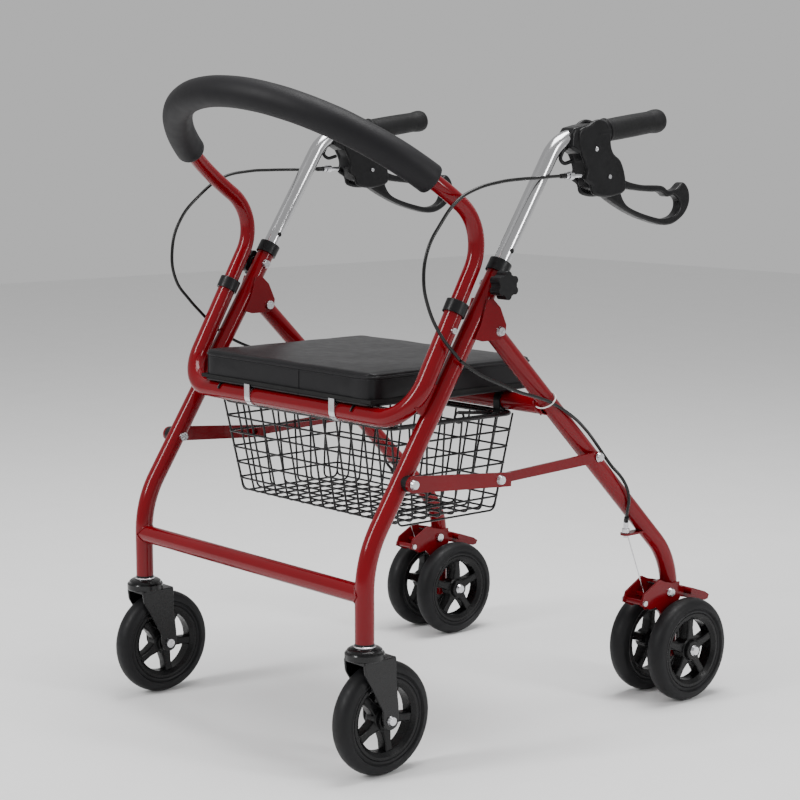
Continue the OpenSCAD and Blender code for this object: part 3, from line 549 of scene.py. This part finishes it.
def make_backrest_foam():
    """The foam sleeve on the arch, a little uneven, with rounded ends."""
    start, end = math.radians(12.5), math.radians(154)
    edge = 3.5 / ARCH_R
    # (angle, radius) from one cut end to the other
    stations = [(start, 11.2), (start, FOAM_R - 3), (start + edge * 0.3, FOAM_R - 1), (start + edge, FOAM_R)]
    count = 90
    stations += [(start + edge + (end - start - 2 * edge) * k / count, FOAM_R) for k in range(1, count)]
    stations += [(end - edge, FOAM_R), (end - edge * 0.3, FOAM_R - 1), (end, FOAM_R - 3), (end, 11.2)]
    maker = bmesh.new()
    normal = Vector((0, -math.cos(ARCH_TILT), math.sin(ARCH_TILT))).cross(Vector((1, 0, 0)))
    rings, around = [], 48
    for angle, radius in stations:
        centre, out = arch_point(angle)
        ring = []
        for k in range(around):
            a = 2 * math.pi * k / around
            way = out * math.cos(a) + normal * math.sin(a)
            ripple = 0.35 * noise.noise((centre + way * 0.02) * 26) if radius == FOAM_R else 0
            ring.append(maker.verts.new(centre + way * (radius + ripple) * MM))
        rings.append(ring)
    for low, high in zip(rings, rings[1:]):
        for k in range(around):
            n = (k + 1) % around
            maker.faces.new((low[k], low[n], high[n], high[k]))
    bmesh.ops.recalc_face_normals(maker, faces=maker.faces)
    mesh = bpy.data.meshes.new("backrest_pad")
    maker.to_mesh(mesh)
    maker.free()
    foam = piece_of("backrest_pad", mesh, "frame", "foam", 50)
    stand_in(foam, "backrest_foam")


# ---------- seat ----------
SEAT_SKIRT_Z = 471.8
SEAT_TOP_Z = 516.5


def make_seat():
    """The padded seat: a box with rounded corners, swollen by cloth and shaped."""
    low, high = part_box("seat_cushion")
    inset, corner = -1.5 * MM, 20 * MM
    maker = bmesh.new()
    x1, y0, y1 = high[0] - inset, low[1] + inset, high[1] - inset
    plan = rounded([(x1, y0, 0), (x1, y1, 0), (-x1, y1, 0), (-x1, y0, 0)], corner, 6)
    z0, z1 = SEAT_SKIRT_Z * MM, SEAT_TOP_Z * MM
    bottom = [maker.verts.new((p.x, p.y, z0)) for p in plan]
    top = [maker.verts.new((p.x, p.y, z1)) for p in plan]
    maker.faces.new(list(reversed(bottom)))
    maker.faces.new(top)
    for k in range(len(plan)):
        n = (k + 1) % len(plan)
        maker.faces.new((bottom[k], bottom[n], top[n], top[k]))
    mesh = bpy.data.meshes.new("seat_pad")
    maker.to_mesh(mesh)
    maker.free()
    seat = bpy.data.objects.new("seat_pad", mesh)
    bpy.context.collection.objects.link(seat)
    remesh = seat.modifiers.new("remesh", "REMESH")
    remesh.mode = "VOXEL"
    remesh.voxel_size = 0.005
    bake_modifiers(seat)
    start = [vertex.co.copy() for vertex in seat.data.vertices]
    swell(seat, 20)
    shape_seat(seat, start, (x1, y0, y1, z0, z1))
    divide = seat.modifiers.new("divide", "SUBSURF")
    divide.levels = divide.render_levels = 1
    bake_modifiers(seat)
    seat.data.materials.clear()
    seat.data.materials.append(LOOKS["vinyl"])
    shade(seat, 70)
    stand_in(seat, "seat_cushion")
    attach(seat, "seat")
    seat_seams(seat, (x1, y0, y1, z0, z1))


def bake_modifiers(piece):
    """Makes the piece's mesh what its modifiers give, and removes them."""
    bpy.context.view_layer.update()
    evaluated = piece.evaluated_get(bpy.context.evaluated_depsgraph_get())
    mesh = bpy.data.meshes.new_from_object(evaluated)
    piece.modifiers.clear()
    piece.data = mesh


def swell(piece, frames):
    """Cloth under pressure, so the cover stands up from its stuffing."""
    cloth = piece.modifiers.new("cloth", "CLOTH")
    cloth.settings.use_pressure = True
    cloth.settings.uniform_pressure_force = 4
    cloth.settings.effector_weights.gravity = 0
    cloth.settings.quality = 4
    scene = bpy.context.scene
    for step in range(1, frames + 1):
        scene.frame_set(step)
    bake_modifiers(piece)
    scene.frame_set(1)


def shape_seat(seat, start, limits):
    """Caps how far the swelling moved each point, keeps the underside flat and adds folds by the corners."""
    x1, y0, y1, z0, z1 = limits
    cap = 4.5 * MM
    middle = Vector((0, (y0 + y1) / 2, (z0 + z1) / 2))
    for vertex, home in zip(seat.data.vertices, start):
        move = vertex.co - home
        if move.length > cap:
            move *= cap / move.length
        if home.z < z0 + 3 * MM:
            move = Vector((0, 0, 0))
        place = home + move
        # the top seam holds the cover in, so the sides bulge below it and the top crowns inside it
        from_edge = min(x1 - abs(home.x), home.y - y0, y1 - home.y)
        if home.z > z1 - 4 * MM:
            rise = min(max(from_edge, 0) / (60 * MM), 1)
            place.z = z1 + 2.2 * MM * math.sin(rise * math.pi / 2) - 1.2 * MM * (from_edge < 5 * MM)
        corner_near = math.exp(-((x1 - abs(home.x)) + min(home.y - y0, y1 - home.y)) / (55 * MM))
        fold = noise.noise(Vector((home.x * 62, home.y * 62, home.z * 20)))
        place += (home - middle).normalized() * fold * corner_near * 1.7 * MM
        waves = noise.noise(Vector((home.x * 16, home.y * 16, 3)))
        if home.z > z1 - 4 * MM:
            place.z += waves * 0.9 * MM
        vertex.co = place


def seat_seams(seat, limits):
    """A welted seam round the top edge with its stitches, and the upright seams of the boxing."""
    x1, y0, y1, z0, z1 = limits
    tree = BVHTree.FromPolygons([v.co.copy() for v in seat.data.vertices],
                                [list(p.vertices) for p in seat.data.polygons])
    rim = rounded([(x1, y0, 0), (x1, y1, 0), (-x1, y1, 0), (-x1, y0, 0)], 20 * MM, 10)
    dense = []
    for k, corner in enumerate(rim):
        following = rim[(k + 1) % len(rim)]
        pieces = max(int((following - corner).length / (6 * MM)), 1)
        dense += [corner.lerp(following, i / pieces) for i in range(pieces)]
    ring = []
    for point in dense:
        hit = tree.find_nearest(Vector((point.x, point.y, z1 - 5.5 * MM)))
        ring.append(hit[0] + hit[1] * 0.3 * MM)
    wires("seat_welt", [ring + [ring[0]]], 1.5, "seat", "vinyl", 3)
    stitches = []
    for k in range(len(dense)):
        a, b = dense[k], dense[(k + 1) % len(dense)]
        for f, g in ((0.08, 0.42), (0.58, 0.92)):
            dash = []
            for t in (f, g):
                point = a.lerp(b, t)
                hit = tree.find_nearest(Vector((point.x, point.y, z1 - 9.5 * MM)))
                dash.append(hit[0] + hit[1] * 0.15 * MM)
            if (dash[0] - dash[1]).length > 0.8 * MM:
                stitches.append(dash)
    thread = wires("seat_stitches", stitches, 0.35, "seat", THREAD, 1)
    upright = []
    for x, y in ((x1 * 0.18, y0), (-x1 + 12 * MM, y0 + 2 * MM), (x1, (y0 + y1) / 2), (-x1, (y0 + y1) / 2)):
        run = []
        for k in range(8):
            z = z0 + 2 * MM + (z1 - z0 - 9 * MM) * k / 7
            hit = tree.find_nearest(Vector((x, y, z)))
            run.append(hit[0] + hit[1] * 0.1 * MM)
        upright.append(run)
    wires("seat_side_seams", upright, 0.7, "seat", "vinyl", 2)


# ---------- basket ----------
RIM_X, RIM_FRONT, RIM_BACK, RIM_Z = 188, 101, 325, 440
FLOOR_X, FLOOR_FRONT, FLOOR_BACK, FLOOR_Z = 175, 125, 302, 303
WIRE_R = 1.5


def basket_level(share):
    """Half width, front and back of the basket at a share of its height, 0 at the floor."""
    return (FLOOR_X + (RIM_X - FLOOR_X) * share, FLOOR_FRONT + (RIM_FRONT - FLOOR_FRONT) * share,
            FLOOR_BACK + (RIM_BACK - FLOOR_BACK) * share, FLOOR_Z + (RIM_Z - FLOOR_Z) * share)


def make_basket():
    """The wire basket with its rim rod, hooks and carry handle."""
    runs = []
    # long hoops: down the front wall, along the floor and up the back wall
    hoops = 14
    for k in range(hoops):
        f = -1 + 2 * k / (hoops - 1)
        x_low, x_high = f * FLOOR_X, f * RIM_X
        path = [at(x_high, RIM_FRONT, RIM_Z), at(x_low, FLOOR_FRONT, FLOOR_Z), at(x_low, FLOOR_BACK, FLOOR_Z),
                at(x_high, RIM_BACK, RIM_Z)]
        runs.append(rounded(path, 9 * MM, 5, False))
    # cross hoops: down one side wall, across the floor and up the other
    hoops = 8
    for k in range(hoops):
        f = k / (hoops - 1)
        y_low = FLOOR_FRONT + (FLOOR_BACK - FLOOR_FRONT) * f
        y_high = RIM_FRONT + (RIM_BACK - RIM_FRONT) * f
        z_floor = FLOOR_Z + 2 * WIRE_R
        path = [at(RIM_X, y_high, RIM_Z), at(FLOOR_X, y_low, z_floor), at(-FLOOR_X, y_low, z_floor),
                at(-RIM_X, y_high, RIM_Z)]
        runs.append(rounded(path, 9 * MM, 5, False))
    # level hoops round the four walls
    for share in (0.15, 0.32, 0.49, 0.66, 0.83):
        half, front, back, z = basket_level(share)
        grow = 2 * WIRE_R
        ring = rounded([at(half + grow, front - grow, z), at(half + grow, back + grow, z),
                        at(-half - grow, back + grow, z), at(-half - grow, front - grow, z)], 10 * MM, 4)
        runs.append(ring + [ring[0]])
    body = wires("basket_wires", runs, WIRE_R, "basket", "wire_black", 2)
    stand_in(body, "basket")

    rim = rounded([at(RIM_X, RIM_FRONT, RIM_Z), at(RIM_X, RIM_BACK, RIM_Z), at(-RIM_X, RIM_BACK, RIM_Z),
                   at(-RIM_X, RIM_FRONT, RIM_Z)], 16 * MM, 7)
    rods = wires("basket_rim_rod", [rim + [rim[0]]], 3.4, "basket", "wire_black", 4)
    stand_in(rods, "basket_rim")
    hooks = []
    for x in (-150, 150):
        hook = [at(x, RIM_FRONT, RIM_Z)]
        reach = TUBE_R + 2.0
        for degrees in range(-30, 171, 12):
            a = math.radians(degrees)
            hook.append(at(x, SEAT_BAR[0] + reach * math.cos(a), SEAT_BAR[1] + reach * math.sin(a)))
        hooks.append(hook)
    # carry handle, folded down over the back of the rim, with an eye at each end
    half, y_eye = RIM_X - 6.5, 228
    bail = [at(half, y_eye, 449), at(half, 303, 441.5), at(-half, 303, 441.5), at(-half, y_eye, 449)]
    bail = rounded(bail, 22 * MM, 7, False)
    wires("basket_hooks", hooks, 1.6, "basket", "wire_black", 3)
    wires("basket_bail", [bail], 2.4, "basket", "wire_black", 3)
    eyes = []
    for s in (1, -1):
        eye = []
        for k in range(25):
            a = 2 * math.pi * k / 24
            eye.append(at(s * (half + 1.5), y_eye + 8.2 * math.cos(a), 442.5 + 7.4 * math.sin(a)))
        eye[-1] = eye[0]
        eyes.append(eye)
    wires("basket_bail_eyes", eyes, 1.7, "basket", "wire_black", 3)


# ---------- wheels ----------
def tyre_profile():
    """Half round tread with a raised lip where it meets the rim."""
    profile = [(54.6, -11.5), (56, -13.2), (58.2, -13.9), (59.6, -13.2), (60.6, -12.9)]
    for k in range(13):
        a = math.radians(-90 + 180 * k / 12)
        flat = 1 if abs(math.sin(a)) < 0.99 else 0.98
        profile.append((62.5 + 13.5 * math.cos(a) ** 0.75 * flat, 15.2 * math.sin(a)))
    profile += [(60.6, 12.9), (59.6, 13.2), (58.2, 13.9), (56, 13.2), (54.6, 11.5), (54.6, -11.5)]
    return profile


def hub_rim_profile():
    """The band under the tyre, with a lip on each side."""
    return [(55.2, -12), (54.4, -13), (50.5, -13), (49.3, -12), (46, -9.5), (45, -8.5), (45, 8.5), (46, 9.5),
            (49.3, 12), (50.5, 13), (54.4, 13), (55.2, 12), (55.2, -12)]


def make_wheel(name, centre, body, side, nodes, first_spoke):
    """Tyre, rim, boss and five spokes. nodes are the CAD tyre and hub, first_spoke an angle in degrees."""
    axis = Vector((1, 0, 0))
    tyre = lathe(name + "_tyre", tyre_profile(), centre, axis, body, "tyre", 96, 30)
    stand_in(tyre, nodes[0])
    rim = lathe(name + "_rim", hub_rim_profile(), centre, axis, body, "hub_plastic", 96, 30)
    stand_in(rim, nodes[1])
    boss = [(5, -15), (13.2, -15), (14.2, -14), (15.5, -9), (18, -8), (18, 8), (15.5, 9), (14.2, 14),
            (13.2, 15), (5, 15), (5, -15)]
    lathe(name + "_boss", boss, centre, axis, body, "hub_plastic", 48, 30)
    y, z = (centre.y - STEM_Y) / MM, centre.z / MM
    outlines = []
    for k in range(5):
        a = math.radians(first_spoke + 72 * k)
        ray, wide = Vector((math.cos(a), math.sin(a))), Vector((-math.sin(a), math.cos(a)))
        blade = [ray * 13 + wide * 8.5, ray * 13 - wide * 8.5, ray * 31 - wide * 5.4, ray * 46.5 - wide * 6.5,
                 ray * 46.5 + wide * 6.5, ray * 31 + wide * 5.4]
        outlines.append([(y + p.x, z + p.y) for p in blade])
    dx = abs(centre.x) / MM - LEG_X
    for k, outline in enumerate(outlines):
        plate(f"{name}_spoke_{k}", [outline], dx - 8.5, dx + 8.5, 2.2, body, "hub_plastic", side, 1.5, 3)


def make_wheels():
    for side in SIDES:
        make_wheel("front_wheel_" + side, off_leg(side, 0, *CASTER_AXLE), "caster_wheel_" + side, side,
                   ("caster_tyre_" + side, "caster_hub_" + side), 280)
        for place, sign in (("outer", 1), ("inner", -1)):
            tag = f"{side}_{place}"
            make_wheel("rear_wheel_" + tag, off_leg(side, sign * TWIN_GAP, *AXLE), "rear_wheel_" + tag, side,
                       ("rear_tyre_" + tag, "rear_hub_" + tag), 90)


FORK_IN, FORK_OUT = 18, 21.5
CROWN_LOW, CROWN_TOP = 156, 160
FORK_SIDE = [
    (-18, CROWN_TOP), (-16, 142), (-6, 126), (14, 90), (14, 74), (18, 66), (27, 63), (36, 66), (40, 74),
    (40, 90), (36, 128), (36, CROWN_TOP),
]


def make_forks():
    """Pressed caster forks: two cheeks under a flat crown, every edge softly rounded."""
    for side in SIDES:
        body, node = "caster_" + side, "caster_fork_" + side
        for sign, tag in ((1, "out"), (-1, "in")):
            near, far = sorted((sign * FORK_IN, sign * FORK_OUT))
            name = f"fork_cheek_{side}_{tag}"
            stand_in(plate(name, [FORK_SIDE], near, far, 1.0, body, "black_steel", side, 4), node)
        outline = [(-18, CROWN_LOW), (36, CROWN_LOW), (36, CROWN_TOP), (-18, CROWN_TOP)]
        wide = FORK_OUT - 1
        stand_in(plate("fork_crown_" + side, [outline], -wide, wide, 0.8, body, "black_steel", side), node)


def make_race_cups():
    """The ball race on top of each caster fork: a glossy black cup under a zinc washer."""
    up = Vector((0, 0, 1))
    cup = [(6, 0), (25.4, 0), (26.2, 1), (26.2, 8), (25, 9.6), (23.4, 10), (23, 12.5), (20, 14.6), (13, 15.6),
           (6, 15.6)]
    washer = [(6, 0), (14, 0), (14.8, 0.6), (14.8, 2), (14, 2.6), (6, 2.6)]
    for side in SIDES:
        body = "caster_" + side
        lathe("race_cup_" + side, cup, off_leg(side, 0, 0, CROWN_TOP - 0.4), up, body, "black_steel", 64, 30)
        lathe("race_washer_" + side, washer, off_leg(side, 0, 0, 175), up, body, "zinc", 48, 30)


# ---------- grips, levers and housings ----------
def make_grips():
    """Soft grips with a flange in front, fine rings and a swollen end."""
    for side in SIDES:
        start = off_leg(side, 0, *HANDLE_CORNER) + GRIP_WAY * GRIP_FROM * MM
        profile = [(11.2, 0), (16.2, 0), (17.2, 1), (17.4, 2.5), (16.6, 4.6)]
        # shallow rings all along the grip
        for k in range(1, 44):
            s = 3 + k * 2.1
            swell_out = 1.2 * math.exp(-((s - 107) / 9) ** 2) + 0.5 * math.sin(s / 93 * math.pi)
            if s > 6:
                profile.append((15.2 + swell_out + (0.28 if k % 2 else -0.1), s))
        profile += [(16.4, 99), (16.9, 105), (16.5, 110), (15.2, 113.5), (11.5, 115.6), (5, 116), (0, 116)]
        grip = lathe("grip_cover_" + side, profile, start, GRIP_WAY, "handle_" + side, "grip_foam", 48, 50)
        stand_in(grip, "grip_" + side)


LEVER_OUTER = [
    (414, 766), (424, 780), (440, 780), (468, 763), (505, 755), (546, 753), (561, 746), (577, 748),
    (592, 757), (604, 746), (606, 729), (598, 714), (583, 703), (564, 697), (538, 699), (488, 713),
    (440, 735), (418, 752),
]
LEVER_INNER = [
    (463, 751), (480, 749), (520, 745), (545, 744), (559, 737), (573, 739), (584, 731), (584, 720),
    (574, 710), (556, 706), (536, 708), (500, 717), (475, 727), (463, 741),
]


def smooth_ring(points, steps=5):
    """A closed Catmull-Rom curve through the points."""
    out, count = [], len(points)
    for i in range(count):
        p = [Vector(points[(i + k - 1) % count]) for k in range(4)]
        for step in range(steps):
            t = step / steps
            out.append(0.5 * (2 * p[1] + (p[2] - p[0]) * t + (2 * p[0] - 5 * p[1] + 4 * p[2] - p[3]) * t * t
                              + (3 * p[1] - p[0] - 3 * p[2] + p[3]) * t ** 3))
    return [(q.x, q.y) for q in out]


HOUSING = [
    (366, 824), (372, 834), (386, 838), (400, 845), (412, 846), (424, 842), (430, 828), (432, 810),
    (438, 799), (452, 789), (461, 768), (461, 748), (440, 741), (417, 740), (398, 745), (393, 757),
    (381, 765), (384, 778), (380, 790), (371, 806),
]
HOUSING_BLOCK = [
    (366, 815), (372, 826), (400, 833), (412, 838), (422, 836), (425, 800), (411, 792), (411, 748),
    (396, 752), (384, 770), (382, 790),
]
HOUSING_CLAMP = [(354, 808), (355, 827), (361, 835), (376, 838), (394, 841), (394, 808), (372, 799)]


def make_brakes_on_handles():
    """The loop levers and the housings that clamp them to the handle tubes."""
    for side in SIDES:
        body = "handle_" + side
        loop = [smooth_ring(LEVER_OUTER), smooth_ring(LEVER_INNER)]
        lever = "brake_lever_" + side
        piece = plate("lever_loop_" + side, loop, -7.8, 7.8, 3.0, lever, "black_plastic", side, steps=3)
        stand_in(piece, lever)
        # two cheeks, the block between them and the clamp in front
        outline = [smooth_ring(HOUSING, 3)]
        cheek = plate("housing_outer_" + side, outline, 8.7, 16, 3.2, body, "black_plastic", side)
        stand_in(cheek, "brake_housing_" + side)
        cheek = plate("housing_inner_" + side, outline, -15, -8.7, 3.2, body, "black_plastic", side)
        stand_in(cheek, "brake_housing_" + side)
        plate("housing_block_" + side, [HOUSING_BLOCK], -11, 12, 2.5, body, "black_plastic", side, 3)
        plate("housing_clamp_" + side, [HOUSING_CLAMP], -13.6, 14.2, 4.5, body, "black_plastic", side, 2, 4)
        # the collar round the tube, and the hook on the front of the housing
        lathe("clamp_collar_" + side, [(11.2, 0), (15.5, 0), (16.4, 1), (16.4, 24), (15.5, 25), (11.2, 25)],
              off_leg(side, 0, *HANDLE_CORNER) + GRIP_WAY * 67 * MM, GRIP_WAY, body, "black_plastic", 48)
        hook = rounded([off_leg(side, 2, 372, 812), off_leg(side, 3, 350, 806), off_leg(side, 3, 343, 793),
                        off_leg(side, 2, 352, 786), off_leg(side, 2, 368, 790)], 6 * MM, 5, False)
        wires("strap_hook_" + side, [hook], 2.6, body, "black_plastic", 3)
        screw = [(0, 0), (3.2, 0), (3.2, 0.8), (2.6, 1.5), (1.6, 1.6), (1.4, 0.9), (0, 0.9)]
        lathe("housing_screw_" + side, screw, off_leg(side, 15.6, 402, 806), Vector((SIDES[side], 0, 0)), body,
              "zinc", 24)


# ---------- brakes at the rear wheels ----------
def make_springs():
    """Torsion springs round each brake arm pivot, their legs hooked over the frame and the arm."""
    for side in SIDES:
        turns, radius, run = 2.6, 6.4, []
        for half in (-1, 1):
            coil = []
            for k in range(40):
                a = math.radians(200) + 2 * math.pi * turns * k / 39
                coil.append(off_leg(side, half * (9.4 - 1.5 * k / 39), ARM_AXIS[0] + radius * math.cos(a),
                                    ARM_AXIS[1] + radius * math.sin(a)))
            coil.append(off_leg(side, half * 8, ARM_AXIS[0] - 22, ARM_AXIS[1] + 14))
            run.append(coil)
        loop = run[0] + [off_leg(side, 0, ARM_AXIS[0] - 26, ARM_AXIS[1] + 16)] + list(reversed(run[1]))
        spring = wires("arm_spring_" + side, [loop], 1.0, "rear_frame", "black_steel", 2)
        stand_in(spring, "brake_springs")


# ---------- weld beads ----------
def bead_ring(x_leg, y, z, direction, along_leg):
    """The fillet where a bar of the same size meets a leg: a wavy ring on the saddle between them."""
    bar = Vector((1, 0, 0))
    side_way = bar.cross(along_leg)
    ring = []
    for k in range(49):
        a = 2 * math.pi * k / 48
        ripple = 0.25 * math.sin(9 * a)
        point = at(x_leg, y, z) + side_way * (TUBE_R + 0.4 + ripple) * math.cos(a) * MM \
            + along_leg * (TUBE_R + 0.4 + ripple) * math.sin(a) * MM
        depth = math.sqrt(max(TUBE_R ** 2 - (TUBE_R * math.cos(a)) ** 2, 0))
        ring.append(point - bar * direction * (depth + 0.4) * MM)
    ring[-1] = ring[0]
    return ring


def make_welds():
    """Weld beads where the two crossbars meet the legs."""
    upright = Vector((0, 0, 1))
    sloping = Vector((0, 1, -1)).normalized()
    beads = [bead_ring(s * LEG_X, 0, LOW_BAR_Z, s, upright) for s in (1, -1)]
    wires("crossbar_welds", beads, 1.5, "frame", "paint_red", 2)
    beads = [bead_ring(s * LEG_X, *CROSS_BAR, s, sloping) for s in (1, -1)]
    wires("rear_bar_welds", beads, 1.5, "rear_frame", "paint_red", 2)


make_camera()
make_tubes()
make_cables()
make_studio()
make_backrest_foam()
make_seat()
make_basket()
make_wheels()
make_forks()
make_race_cups()
make_grips()
make_brakes_on_handles()
make_springs()
make_welds()
make_cable_ties()
finish_cad_nodes()
